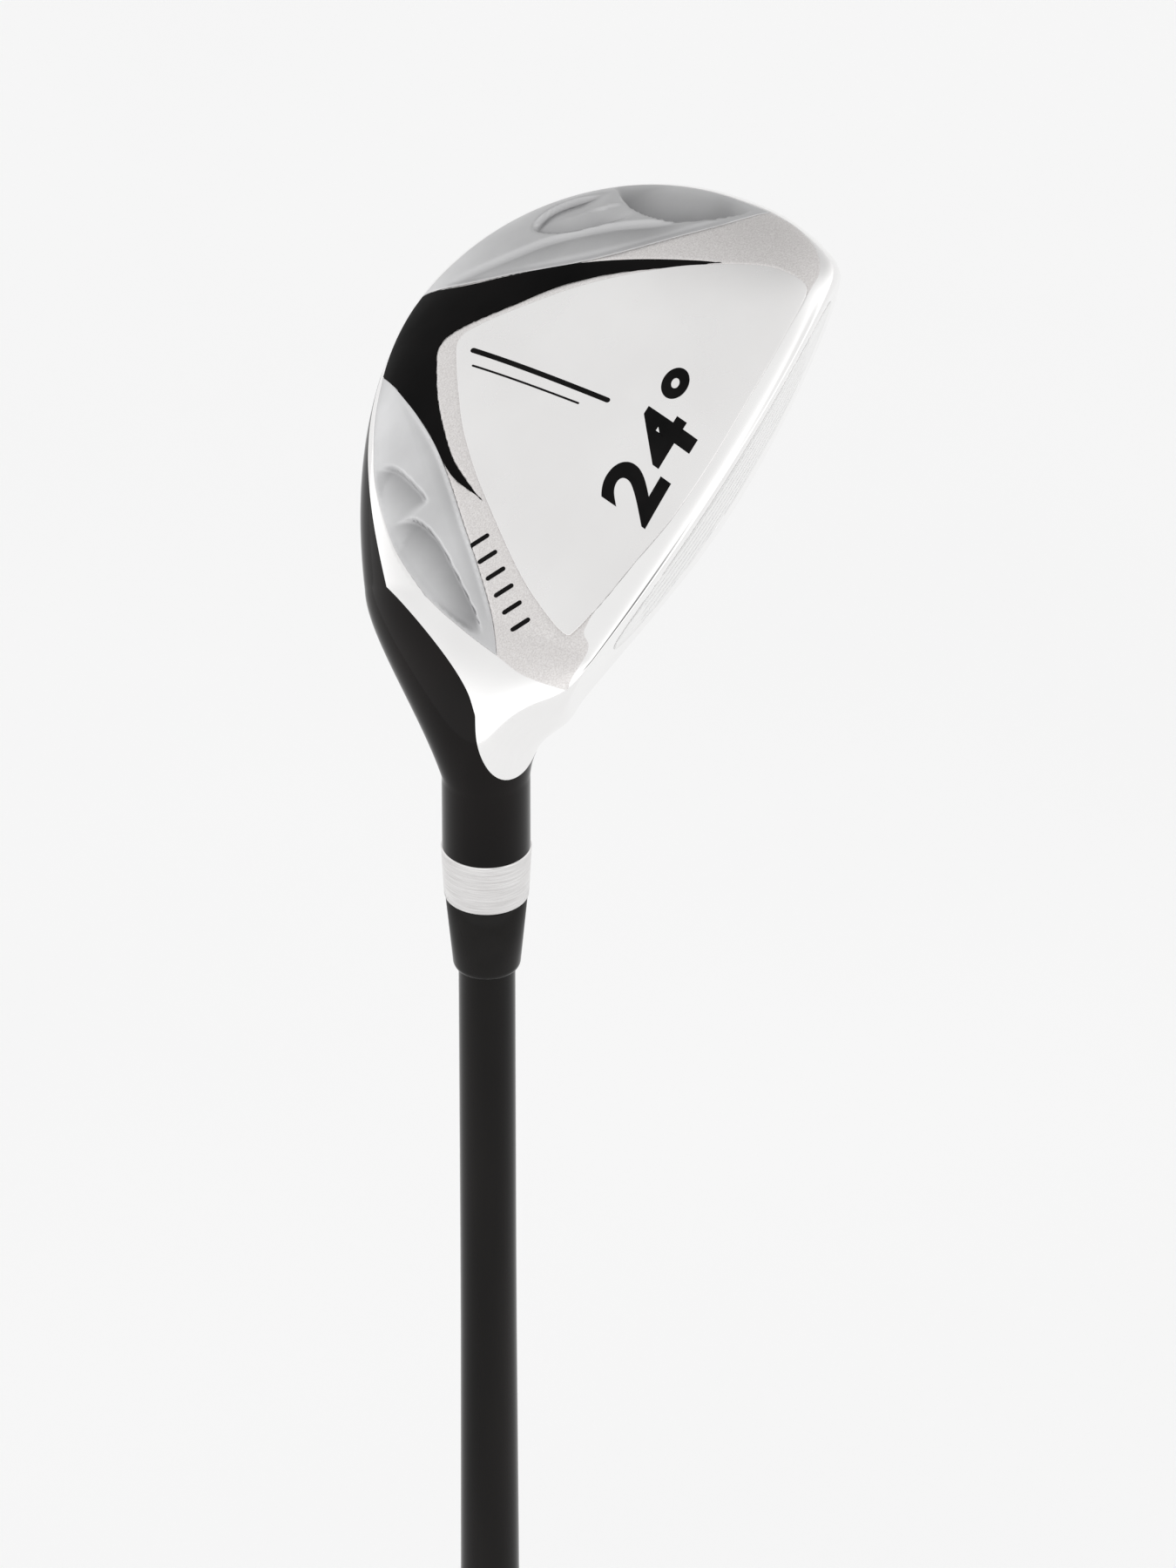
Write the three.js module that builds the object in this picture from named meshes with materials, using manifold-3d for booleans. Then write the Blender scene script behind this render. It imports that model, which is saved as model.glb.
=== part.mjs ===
// Hybrid golf club: hollow steel head, ferrule, graphite shaft and rubber grip. Millimetres, +Z up.
//
// Row frame: the origin is the centre of the grip's butt end, and +Z runs up the shaft to the head, so the club
// stands head up, as in a bag. +X is the toe side and the face looks towards -Y.
//
// The head is drawn in its own address frame, as the club sits behind a ball: origin where the shaft's axis meets
// the ground, +X to the toe, +Y to the target (out of the face), +Z up. Two nested groups turn it onto the shaft.
import * as THREE from 'three';
import { mergeVertices } from 'three/addons/utils/BufferGeometryUtils.js';
import Module from 'manifold-3d';

const wasm = await Module();
wasm.setup();

// ---- Driving dimensions --------------------------------------------------------------------------
const CLUB_LENGTH = 1003; // 39.5 in, butt end to the ground along the shaft's axis
const LIE = THREE.MathUtils.degToRad(60); // shaft against the ground
const LOFT = THREE.MathUtils.degToRad(24); // face leans back from upright

const HEAD = {
  toeX: 91.5, // furthest point of the toe
  midX: 44, // lowest section of the sole
  tailX: 52, // where the tail reaches furthest back
  rearY: -51.3, // furthest point of the tail
  poleY: -10, // where the plan outline closes at the toe
  rimZ: 13, // height of the skirt's widest line
  crownHeel: 20.5, // crown height at the neck
  crownPeak: 32.5, // crown height towards the toe
  soleRadius: 180, // heel-to-toe camber
  ridgeY: 2, // line of the crown's peak and the sole's low point
  frontY: 30, // how far a section would reach if the face did not cut it
};
const FACE = { y: 21.6, bulge: 254, edgeRadius: 3.2, thick: 2.6 };
// The neck's sections fan about a line, at this distance from the shaft's axis.
const NECK = { x: 4.3, z: 32.5, axisR: 20 };
// The hosel's top is measured from the ground, along the axis.
const HOSEL = { r: 7.0, top: 39.2, bore: 4.95, boreDepth: 24 };
const SHELL = { wall: 1.4, sole: 2.8, face: 2.8 };
const SOLID = { wall: 0, sole: 0 };
const CAVITY_HEEL = 15; // the hollow of the head starts here
const PARTING_Z = 12.3; // the sole piece and the body are welded together at this height
const INLAY_DEEP = 1.3;
const FIT = 0.3; // gap between pieces that are cut to one another
const SCORE = { count: 8, pitch: 3.1, width: 0.9, deep: 0.45, length: 52, firstUp: 7.5, midX: 44 };

const RING = { length: 9.2, topR: 7.2, endR: 6.75 };
const COLLAR = { length: 13.3, topR: 6.55, endR: 5.45, lip: 1.2, lipIn: 0.5 };
const FERRULE_GAP = 0.05; // glue line between the hosel, the ring and the collar
const SLIDE_GAP = 0.06; // glue line round the shaft
const TIP_PIN = { r: 2.5, length: 40 };
const SHAFT = {
  tipR: 4.525, buttR: 7.6, tipBore: 2.6, buttBore: 6.5,
  parallelTip: 110, parallelButt: 230, buttZ: 5.6,
};
const TIP_INSET = 23; // how far the shaft's tip goes into the hosel
const GRIP = { length: 267, buttR: 13.5, mouthR: 8.9, tape: 0.3 };
const CAP = { flange: 5, r: 13.9, edge: 1.2, plugR: 6.2, plug: 10 };

const AROUND = 40; // points round each section of the head
const ROUND = 32; // facets round the shaft, ferrule and grip

// ---- Small helpers -------------------------------------------------------------------------------
const clamp01 = (t) => Math.min(1, Math.max(0, t));
const mix = (a, b, t) => a + (b - a) * t;
const ease = (t) => clamp01(t) ** 2 * (3 - 2 * clamp01(t));

// The smaller of a and b, rounded over where they meet.
function softMin(a, b, radius) {
  const h = clamp01(0.5 + (b - a) / (2 * radius));
  return mix(b, a, h) - radius * h * (1 - h);
}

function toSolid(geometry) {
  const bare = geometry.clone();
  for (const name of ['normal', 'uv']) bare.deleteAttribute(name);
  const merged = mergeVertices(bare, 1e-4);
  return new wasm.Manifold(
    new wasm.Mesh({
      numProp: 3,
      vertProperties: merged.attributes.position.array,
      triVerts: new Uint32Array(merged.index.array),
    }),
  );
}

function toGeometry(solid) {
  const { vertProperties, triVerts } = solid.getMesh();
  const geometry = new THREE.BufferGeometry()
    .setAttribute('position', new THREE.BufferAttribute(new Float32Array(vertProperties), 3))
    .setIndex(new THREE.BufferAttribute(new Uint32Array(triVerts), 1));
  geometry.computeVertexNormals();
  return geometry;
}

// ---- The head's outer form -----------------------------------------------------------------------
// Plan outline of the skirt's rear, from the neck to the toe.
function rearY(x) {
  const toToe = clamp01((x - HEAD.tailX) / (HEAD.toeX - HEAD.tailX));
  if (x >= HEAD.tailX) return mix(HEAD.poleY, HEAD.rearY, Math.sqrt(1 - toToe ** 1.95));
  return HEAD.rearY + 18.8 * ((HEAD.tailX - x) / 45.3) ** 1.8;
}

const soleZ = (x) => (x - HEAD.midX) ** 2 / (2 * HEAD.soleRadius);

function crownZ(x) {
  return mix(HEAD.crownHeel, HEAD.crownPeak, ease((x - NECK.x) / 50)) - 2 * ease((x - 66) / 22);
}

// The front of the face at a place: lofted, and bulged from heel to toe.
const faceY = (x, z) => FACE.y - z * Math.tan(LOFT) - (x - HEAD.midX) ** 2 / (2 * FACE.bulge);

// One section of the body, in the upright plane at x. Positions down the plane run along w from (x, top).
// An inset gives the same section moved in by the shell's walls.
function bodyStation(x, inset) {
  const toEnd = clamp01((x - HEAD.midX) / (HEAD.toeX - inset.wall - HEAD.midX));
  const at = x + inset.wall * toEnd;
  const q = clamp01((at - HEAD.midX) / (HEAD.toeX - HEAD.midX));
  const closing = Math.sqrt(1 - q ** 6);
  const ridge = mix(HEAD.ridgeY, HEAD.poleY, q ** 6);
  const front = mix(HEAD.poleY, HEAD.frontY, Math.sqrt(1 - q ** 2.6));
  const rim = HEAD.rimZ + 2 * q ** 2;
  return {
    origin: [x, rim],
    down: [0, -1],
    centre: 0,
    ridge,
    front: Math.max(0.2, front - ridge - inset.wall),
    rear: Math.max(0.2, ridge - rearY(at) - inset.wall),
    up: Math.max(0.1, (crownZ(at) - rim) * closing - inset.wall),
    low: Math.max(0.1, (rim - soleZ(at)) * closing - inset.sole),
    topPower: 2.5,
    lowPower: 3,
    faceClear: 0,
  };
}

// One section of the neck, on a plane that fans about the line (NECK.x, NECK.z) as turn goes from 0 to 1.
function neckStation(turn) {
  const body = bodyStation(NECK.x, SOLID);
  const angle = turn * LIE;
  const t = 0.37 * ease(turn) + 0.63 * turn;
  return {
    origin: [NECK.x, NECK.z],
    down: [-Math.sin(angle), -Math.cos(angle)],
    centre: mix(NECK.z - HEAD.rimZ, NECK.axisR, t),
    ridge: mix(body.ridge, 0, t),
    front: mix(body.front, HOSEL.r, 1 - (1 - t) ** 3.2),
    rear: mix(body.rear, HOSEL.r, t),
    up: mix(body.up, HOSEL.r, t),
    low: mix(body.low, HOSEL.r, t),
    topPower: mix(body.topPower, 2, t),
    lowPower: mix(body.lowPower, 2, t),
    faceClear: 10 * turn ** 2,
  };
}

// One round section of the hosel, at a distance along the axis from the ground.
function hoselStation(along, r) {
  return {
    origin: [-Math.cos(LIE) * along, Math.sin(LIE) * along],
    down: [-Math.sin(LIE), -Math.cos(LIE)],
    centre: 0,
    ridge: 0,
    front: r,
    rear: r,
    up: r,
    low: r,
    topPower: 2,
    lowPower: 2,
    faceClear: 100,
  };
}

// The points round a section: an oval with its own reach to the front, rear, top and bottom, cut by the face.
function ringOf(station, count, faceInset = 0) {
  const points = [];
  for (let i = 0; i < count; i++) {
    const a = (2 * Math.PI * i) / count;
    const c = Math.cos(a);
    const below = Math.sin(a) > 0;
    const power = below ? station.lowPower : station.topPower;
    const reach = Math.sqrt(Math.max(0, 1 - Math.abs(c) ** power));
    const w = station.centre + (below ? station.low : -station.up) * reach;
    const x = station.origin[0] + station.down[0] * w;
    const z = station.origin[1] + station.down[1] * w;
    const y = station.ridge + (c > 0 ? station.front : station.rear) * c;
    const limit = faceY(x, z) - faceInset + station.faceClear;
    points.push(new THREE.Vector3(x, softMin(y, limit, FACE.edgeRadius), z));
  }
  return points;
}

// Skins a list of rings and closes both ends with a point.
function skin(rings, firstPoint, lastPoint) {
  const count = rings[0].length;
  const points = [firstPoint, ...rings.flat(), lastPoint];
  const index = [];
  const last = points.length - 1;
  for (let i = 0; i < count; i++) {
    const j = (i + 1) % count;
    index.push(0, 1 + i, 1 + j);
    for (let k = 0; k < rings.length - 1; k++) {
      const a = 1 + k * count;
      const b = a + count;
      index.push(a + i, b + i, b + j, a + i, b + j, a + j);
    }
    const end = 1 + (rings.length - 1) * count;
    index.push(end + i, last, end + j);
  }
  const geometry = new THREE.BufferGeometry().setFromPoints(points).setIndex(index);
  const solid = toSolid(geometry);
  if (solid.volume() > 0) return solid;
  for (let i = 0; i < index.length; i += 3) [index[i + 1], index[i + 2]] = [index[i + 2], index[i + 1]];
  return toSolid(geometry.setIndex(index));
}

// Places along x for the body's sections, closer together towards the toe.
function bodyPlaces(from, to, count) {
  return Array.from({ length: count }, (_, i) => to - (to - from) * (1 - i / (count - 1)) ** 1.8).reverse();
}

const middle = (ring) => ring.reduce((sum, p) => sum.add(p), new THREE.Vector3()).divideScalar(ring.length);

function outerForm() {
  const rings = bodyPlaces(NECK.x, HEAD.toeX - 0.25, 16).map((x) => ringOf(bodyStation(x, SOLID), AROUND));
  const neckTurns = Array.from({ length: 7 }, (_, i) => (i + 1) / 7);
  rings.push(...neckTurns.map((t) => ringOf(neckStation(t), AROUND)));
  const topRing = ringOf(hoselStation(HOSEL.top, HOSEL.r), AROUND);
  rings.push(topRing);
  return skin(rings, new THREE.Vector3(HEAD.toeX, HEAD.poleY, HEAD.rimZ + 2), middle(topRing));
}

function innerForm() {
  const places = bodyPlaces(CAVITY_HEEL, HEAD.toeX - SHELL.wall - 0.4, 10);
  const rings = places.map((x) => ringOf(bodyStation(x, SHELL), AROUND / 2, SHELL.face));
  return skin(rings, middle(rings[0]), middle(rings[rings.length - 1]));
}

// ---- Outlines on the sole, seen in plan ----------------------------------------------------------
const plan = (pairs) => pairs.map(([x, y]) => new THREE.Vector2(x, y));

// A stretch of the rim line: the rear outline moved in by a distance, between two places along x.
function rimStretch(fromX, toX, inset, count) {
  return plan(
    Array.from({ length: count }, (_, i) => {
      const x = mix(fromX, toX, i / (count - 1));
      return [x, rearY(x) + inset];
    }),
  );
}

const spline = (pairs, steps) => new THREE.SplineCurve(plan(pairs)).getPoints(steps);

const TOE_TIP = [89.0, -2.9];
const TAIL = { heelX: 38.3, toeX: 53.9, inset: 2.4 };
const TOE_RIM = [[65.6, -45.6], [76.7, -38.6], [85.6, -26.6], [88.9, -14.0], TOE_TIP];
const TOE_INNER = [
  TOE_TIP, [80.2, -8.1], [71.8, -16.3], [65.6, -24.0], [59.9, -34.1], [56.5, -40.9], [53.9, -48.9],
];
const HEEL_TIP = [-0.8, 0.9];
const HEEL_RIM = [
  [31.2, -43.9], [25.5, -40.4], [19.9, -36.4], [13.5, -29.9], [9.3, -24.7], [4.2, -15.6], [1.2, -7.0],
  HEEL_TIP,
];
const HEEL_INNER = [
  HEEL_TIP, [6.7, -5.0], [12.4, -10.7], [22.8, -21.8], [31.5, -33.4], [35.7, -40.9], [38.3, -47.0],
];
const INLAY_TIPS = { toe: [74.8, -1.4], heel: [21.6, -14.6] };
const INLAY_TOE = [
  [53.9, -48.9], [56.3, -40.7], [59.8, -34.0], [65.6, -24.0], [69.9, -15.0], INLAY_TIPS.toe,
];
const INLAY_INNER = [
  INLAY_TIPS.toe, [70.6, -8.7], [65.7, -17.2], [60.5, -24.0], [52.1, -32.3], [46.3, -37.5],
  [43.9, -37.7], [35.7, -32.4], [30.5, -27.7], [26.3, -23.1], INLAY_TIPS.heel,
];
const INLAY_HEEL = [INLAY_TIPS.heel, [24.1, -22.6], [29.8, -30.7], [33.4, -37.2], [38.3, -47.0]];
const PANEL = [
  [46.6, -34.9], [55.9, -26.9], [63.2, -19.0], [70.6, -8.7], [77.1, 5.1], [76.9, 12.9], [67.8, 15.7], [58.2, 16.9],
  [42.6, 17.6], [30.4, 16.9], [20.5, 14.9], [7.6, 11.4], [9.0, 3.7], [18.7, -10.1], [31.5, -24.4], [43.7, -33.7],
];

const tailRim = () => rimStretch(TAIL.heelX, TAIL.toeX, TAIL.inset, 7);
const joined = (...parts) => parts.reduce((all, part) => all.concat(all.length ? part.slice(1) : part), []);
const backwards = (points) => [...points].reverse();

// The sole piece in plan: past the rim everywhere but at the heel, where the painted body comes down to the sole.
const PARTING = [[-4.4, 34], [96, 34], [96, -60], [36, -60], [32.4, -45.8]];
const PAINT_LINE = [
  [32.4, -45.8], [27.2, -43.4], [16.5, -35.4], [8.2, -27.9], [2.8, -21.0], [-2.5, -10.0],
  [-5.4, -1.5], [-6.0, 8], [-4.4, 34],
];
const partingOutline = () => joined(plan(PARTING), spline(PAINT_LINE, 14)).slice(0, -1);

const toeInsertOutline = () =>
  joined(spline([[53.9, -48.9], ...TOE_RIM], 14), spline(TOE_INNER, 9)).slice(0, -1);

const heelInsertOutline = () =>
  joined(spline([[38.3, -47.0], ...HEEL_RIM], 12), spline(HEEL_INNER, 10)).slice(0, -1);

// The dark inlay between the two inserts: its outer sides follow them, its inner side wraps the centre panel.
const inlayOutline = () =>
  joined(tailRim(), spline(INLAY_TOE, 9), spline(INLAY_INNER, 18), spline(INLAY_HEEL, 8)).slice(0, -1);

const panelOutline = () => new THREE.SplineCurve(plan([...PANEL, PANEL[0]])).getPoints(30).slice(0, -1);

const FACE_OUTLINE = [
  [13, 9.6], [28, 6.2], [44, 5.2], [60, 6.2], [73, 9.6], [79.5, 14.5], [79.5, 20.5], [73, 26.0], [62, 28.6],
  [44, 27.6], [28, 23.6], [15, 18.4], [10.4, 14],
];

// Moves a closed outline outwards by a distance (inwards when it is negative), with mitred corners.
function grown(points, distance) {
  const turn = THREE.ShapeUtils.isClockWise(points) ? -1 : 1;
  const outward = (from, to) => new THREE.Vector2(to.y - from.y, from.x - to.x).normalize().multiplyScalar(turn);
  return points.map((p, i) => {
    const before = outward(points[(i + points.length - 1) % points.length], p);
    const after = outward(p, points[(i + 1) % points.length]);
    const reach = distance / (1 + before.dot(after));
    return p.clone().add(before.add(after).multiplyScalar(reach));
  });
}

// An upright block with that plan, from the ground plane up.
function block(points, low, high) {
  const shape = new THREE.Shape(points);
  const geometry = new THREE.ExtrudeGeometry(shape, { depth: high - low, bevelEnabled: false });
  return toSolid(geometry.translate(0, 0, low));
}

// ---- Materials -----------------------------------------------------------------------------------
const finish = (color, roughness, metalness) =>
  new THREE.MeshStandardMaterial({ color, roughness, metalness });
const MATERIALS = {
  blackPaint: finish('#0b0909', 0.12, 0),
  chrome: finish('#e9e7e6', 0.08, 1),
  satinSteel: finish('#cfcac7', 0.38, 1),
  greyInsert: finish('#9d9d9e', 0.45, 0.9),
  faceSteel: finish('#dedbd9', 0.25, 1),
  blackInlay: finish('#060606', 0.4, 0),
  brushedRing: finish('#cdc9c8', 0.3, 1),
  blackPlastic: finish('#0d0b0b', 0.18, 0),
  graphite: finish('#100d0c', 0.16, 0),
  brass: finish('#b08d4c', 0.35, 1),
  epoxy: finish('#c9b98a', 0.5, 0),
  tape: finish('#d9d2bd', 0.8, 0),
  gripRubber: finish('#161616', 0.85, 0),
};

function named(name, geometry, material) {
  const mesh = new THREE.Mesh(geometry, material);
  mesh.name = name;
  return mesh;
}

// ---- Head ----------------------------------------------------------------------------------------
const FACE_NORMAL = new THREE.Vector3(0, Math.cos(LOFT), Math.sin(LOFT));
const UP_FACE = new THREE.Vector3(0, -Math.sin(LOFT), Math.cos(LOFT));

// A block square to the face, with its outline given across the face (x) and up its slope.
function faceBlock(points, deep) {
  const outline = new THREE.Shape(points);
  const geometry = new THREE.ExtrudeGeometry(outline, { depth: 2 * deep, bevelEnabled: false });
  const inward = FACE_NORMAL.clone().negate();
  const basis = new THREE.Matrix4().makeBasis(new THREE.Vector3(1, 0, 0), UP_FACE, inward);
  basis.setPosition(0, FACE.y, 0);
  return toSolid(geometry.translate(0, 0, -deep).applyMatrix4(basis));
}

const faceOutline = () =>
  new THREE.SplineCurve(plan([...FACE_OUTLINE, FACE_OUTLINE[0]])).getPoints(24).slice(0, -1);

function scoreLine(number) {
  const v = SCORE.firstUp + number * SCORE.pitch;
  const half = SCORE.length / 2;
  const corners = [[-half, v], [half, v], [half, v + SCORE.width], [-half, v + SCORE.width]];
  return faceBlock(plan(corners.map(([x, up]) => [SCORE.midX + x, up])), 12);
}

// Everything of a form within a depth of its sole side, inside a plan outline.
const soleLayer = (form, outline, deep) =>
  form.intersect(block(outline, -4, PARTING_Z)).subtract(form.translate([0, 0, deep]));
const solePocket = (form, outline, deep) =>
  block(outline, -4, PARTING_Z).subtract(form.translate([0, 0, deep]));

const outer = outerForm();
const shell = outer.subtract(innerForm());
const soleRegion = block(partingOutline(), -4, PARTING_Z);
const bodyCut = block(grown(partingOutline(), FIT), -4, PARTING_Z + FIT);

// The outer form moved back from the face by a distance, to cut anything at that depth behind it.
const behindFace = (deep) => outer.translate(FACE_NORMAL.clone().multiplyScalar(-deep).toArray());
const facePlate = outer.intersect(faceBlock(faceOutline(), 14)).subtract(behindFace(FACE.thick));
const faceCut = faceBlock(grown(faceOutline(), FIT), 14).subtract(behindFace(FACE.thick + FIT));
const scoreLines = Array.from({ length: SCORE.count }, (_, i) => scoreLine(i));
const grooves = wasm.Manifold.union(scoreLines).subtract(behindFace(SCORE.deep));
const boreRing = (along) => ringOf(hoselStation(along, HOSEL.bore), ROUND);
const hoselBore = skin(
  [boreRing(HOSEL.top - HOSEL.boreDepth), boreRing(HOSEL.top + 2)],
  middle(boreRing(HOSEL.top - HOSEL.boreDepth)),
  middle(boreRing(HOSEL.top + 2)),
);

const soleInserts = [
  ['toe_side_insert', toeInsertOutline(), MATERIALS.greyInsert],
  ['heel_side_insert', heelInsertOutline(), MATERIALS.greyInsert],
  ['rear_inlay', inlayOutline(), MATERIALS.blackInlay],
  ['centre_badge', panelOutline(), MATERIALS.satinSteel],
];

const head = new THREE.Group();
head.name = 'head';
const bodyForm = shell.subtract(bodyCut).subtract(faceCut).subtract(hoselBore);
head.add(named('head_body', toGeometry(bodyForm), MATERIALS.blackPaint));
const pockets = soleInserts.map(([, outline]) =>
  solePocket(outer, grown(outline, FIT / 2), INLAY_DEEP + FIT / 2));
const sole = wasm.Manifold.difference([shell.intersect(soleRegion), faceCut, ...pockets]);
head.add(named('sole_plate', toGeometry(sole), MATERIALS.chrome));
head.add(named('face_plate', toGeometry(facePlate.subtract(grooves)), MATERIALS.faceSteel));
soleInserts.forEach(([name, outline, material], i) => {
  const neighbours = soleInserts.slice(0, i).map(([, other]) =>
    block(grown(other, FIT / 2), -4, PARTING_Z));
  const piece = soleLayer(outer, grown(outline, -FIT / 2), INLAY_DEEP);
  head.add(named(name, toGeometry(wasm.Manifold.difference([piece, ...neighbours])), material));
});

// ---- Ferrule, shaft and grip, drawn in the row frame ---------------------------------------------
// A turned piece from its profile (radius, height), closed back to its first point.
function turned(name, profile, material) {
  const closed = [...profile, profile[0]].map(([r, z]) => new THREE.Vector2(r, z));
  const geometry = new THREE.LatheGeometry(closed, ROUND);
  geometry.rotateX(Math.PI / 2);
  return named(name, geometry, material);
}

const hoselTopZ = CLUB_LENGTH - HOSEL.top;
const shaftTipZ = hoselTopZ + TIP_INSET;
const shaftTaperTopZ = shaftTipZ - SHAFT.parallelTip;

// Radius of the shaft (or its bore) at a height: parallel at the tip and the butt, tapered between them.
function shaftR(z, tip, butt) {
  return mix(butt, tip, clamp01((z - SHAFT.parallelButt) / (shaftTaperTopZ - SHAFT.parallelButt)));
}
const outerR = (z) => shaftR(z, SHAFT.tipR, SHAFT.buttR);
const innerR = (z) => shaftR(z, SHAFT.tipBore, SHAFT.buttBore);

// A sleeve round the shaft between two heights: the two profiles give its outside and its bore.
function sleeve(name, heights, outside, bore, material) {
  const up = heights.map((z) => [outside(z), z]);
  const down = [...heights].reverse().map((z) => [bore(z), z]);
  return turned(name, [...up, ...down], material);
}

const overShaft = (gap) => (z) => outerR(z) + gap;
const shaftHeights = [SHAFT.buttZ, SHAFT.parallelButt, shaftTaperTopZ, shaftTipZ];
const shaft = sleeve('shaft', shaftHeights, outerR, innerR, MATERIALS.graphite);

const ringEndZ = hoselTopZ - FERRULE_GAP - RING.length;
const ring = sleeve(
  'ferrule_ring',
  [ringEndZ, hoselTopZ - FERRULE_GAP],
  (z) => mix(RING.endR, RING.topR, (z - ringEndZ) / RING.length),
  overShaft(SLIDE_GAP),
  MATERIALS.brushedRing,
);

// The collar tapers down the shaft and ends in a rounded lip.
const collarTopZ = ringEndZ - FERRULE_GAP;
const lipZ = collarTopZ - COLLAR.length + COLLAR.lip;
const lipSteps = [1, 0.85, 0.6, 0.3, 0];
const lipHeights = lipSteps.map((t) => lipZ - COLLAR.lip * t);
function collarR(z) {
  if (z >= lipZ) return mix(COLLAR.endR, COLLAR.topR, (z - lipZ) / (collarTopZ - lipZ));
  const drop = clamp01((lipZ - z) / COLLAR.lip);
  return COLLAR.endR - COLLAR.lipIn * (1 - Math.sqrt(1 - drop ** 2));
}
const collarHeights = [...lipHeights, collarTopZ];
const overTip = overShaft(SLIDE_GAP);
const collar = sleeve('ferrule_collar', collarHeights, collarR, overTip, MATERIALS.blackPlastic);

const sleeveHeights = [shaftTipZ - TIP_INSET + 0.5, shaftTipZ];
const epoxyR = () => HOSEL.bore - SLIDE_GAP;
const epoxy = sleeve('hosel_epoxy', sleeveHeights, epoxyR, overTip, MATERIALS.epoxy);

const tipWeight = turned(
  'tip_weight',
  [
    [0, shaftTipZ - TIP_PIN.length],
    [TIP_PIN.r, shaftTipZ - TIP_PIN.length],
    [TIP_PIN.r, shaftTipZ - 0.5],
    [0, shaftTipZ - 0.5],
  ],
  MATERIALS.brass,
);

const gripTopZ = CAP.flange + FIT + GRIP.length;
const gripHeights = [CAP.flange + FIT, SHAFT.parallelButt, gripTopZ];
const gripR = (z) => mix(GRIP.buttR, GRIP.mouthR, (z - gripHeights[0]) / GRIP.length);
const grip = sleeve('grip', gripHeights, gripR, overShaft(2 * SLIDE_GAP + GRIP.tape), MATERIALS.gripRubber);

const tapeHeights = [SHAFT.buttZ + 1, SHAFT.parallelButt, gripTopZ - 4];
const tapeR = overShaft(SLIDE_GAP + GRIP.tape);
const tape = sleeve('grip_tape', tapeHeights, tapeR, overShaft(SLIDE_GAP), MATERIALS.tape);

// The butt cap: a flat end with a rounded edge, and a plug that goes into the shaft's bore.
const cap = turned(
  'grip_cap',
  [
    [0, 0],
    [CAP.r - CAP.edge, 0],
    [CAP.r - 0.3 * CAP.edge, 0.3 * CAP.edge],
    [CAP.r, CAP.edge],
    [CAP.r, CAP.flange - CAP.edge],
    [GRIP.buttR, CAP.flange],
    [CAP.plugR, CAP.flange],
    [CAP.plugR, CAP.flange + CAP.plug],
    [0, CAP.flange + CAP.plug],
  ],
  MATERIALS.gripRubber,
);

// ---- The whole club ------------------------------------------------------------------------------
// Half a turn puts the sole at the top, then the lie angle swings the hosel's axis onto +Z.
head.rotation.x = Math.PI;
const onShaft = new THREE.Group();
onShaft.name = 'head_on_shaft';
onShaft.rotation.y = LIE - Math.PI / 2;
onShaft.position.z = CLUB_LENGTH;
onShaft.add(head);

const club = new THREE.Group();
club.name = 'hybrid_club';
club.add(onShaft, ring, collar, epoxy, tipWeight, shaft, tape, grip, cap);

export default club;
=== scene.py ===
"""Looks for the hybrid golf club. Lengths are in millimetres until a mesh is made, in metres."""

import math

import bmesh
import bpy
import numpy as np
from mathutils import Matrix, Vector
from mathutils.geometry import delaunay_2d_cdt
from mathutils.kdtree import KDTree


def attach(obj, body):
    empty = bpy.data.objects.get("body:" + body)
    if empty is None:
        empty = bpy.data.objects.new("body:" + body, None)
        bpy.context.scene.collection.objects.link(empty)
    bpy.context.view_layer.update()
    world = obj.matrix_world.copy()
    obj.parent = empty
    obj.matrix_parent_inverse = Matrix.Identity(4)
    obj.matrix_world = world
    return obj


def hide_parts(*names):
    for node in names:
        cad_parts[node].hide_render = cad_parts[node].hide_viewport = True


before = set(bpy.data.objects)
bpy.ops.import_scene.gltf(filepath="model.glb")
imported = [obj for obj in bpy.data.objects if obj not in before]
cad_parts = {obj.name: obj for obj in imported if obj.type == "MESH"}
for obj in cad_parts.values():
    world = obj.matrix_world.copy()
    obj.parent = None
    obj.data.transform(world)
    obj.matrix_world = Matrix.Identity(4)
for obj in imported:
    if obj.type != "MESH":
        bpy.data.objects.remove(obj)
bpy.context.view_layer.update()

MM = 0.001
CLUB_LENGTH = 1003.0
LIE = math.radians(60)
LOFT = math.radians(24)
HEAD = dict(
    toe_x=91.5, mid_x=44.0, tail_x=52.0, rear_y=-51.3, pole_y=-10.0, rim_z=13.0,
    crown_heel=20.5, crown_peak=32.5, sole_radius=180.0, ridge_y=2.0, front_y=30.0,
)
FACE = dict(y=21.6, bulge=254.0, edge=3.2)
NECK = dict(x=4.3, z=32.5, axis_r=20.0)
HOSEL = dict(r=7.0, top=39.2, neck_end=26.0)


# ---- The head's outer form ---------------------------------------------------------------------
def mix(a, b, t):
    return a + (b - a) * t


def clamp01(t):
    return np.clip(t, 0.0, 1.0)


def ease(t):
    t = clamp01(t)
    return t * t * (3 - 2 * t)


def soft_min(a, b, radius):
    """The smaller of a and b, rounded over where they meet."""
    h = clamp01(0.5 + (b - a) / (2 * radius))
    return mix(b, a, h) - radius * h * (1 - h)


def rear_y(x):
    """Plan outline of the tail, from the neck to the toe."""
    q = clamp01((x - HEAD["tail_x"]) / (HEAD["toe_x"] - HEAD["tail_x"]))
    toe = mix(HEAD["pole_y"], HEAD["rear_y"], np.sqrt(np.maximum(0, 1 - q**1.95)))
    heel = HEAD["rear_y"] + 18.8 * (np.maximum(0, HEAD["tail_x"] - x) / 45.3) ** 1.8
    return np.where(x >= HEAD["tail_x"], toe, heel)


def sole_z(x):
    return (x - HEAD["mid_x"]) ** 2 / (2 * HEAD["sole_radius"])


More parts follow.
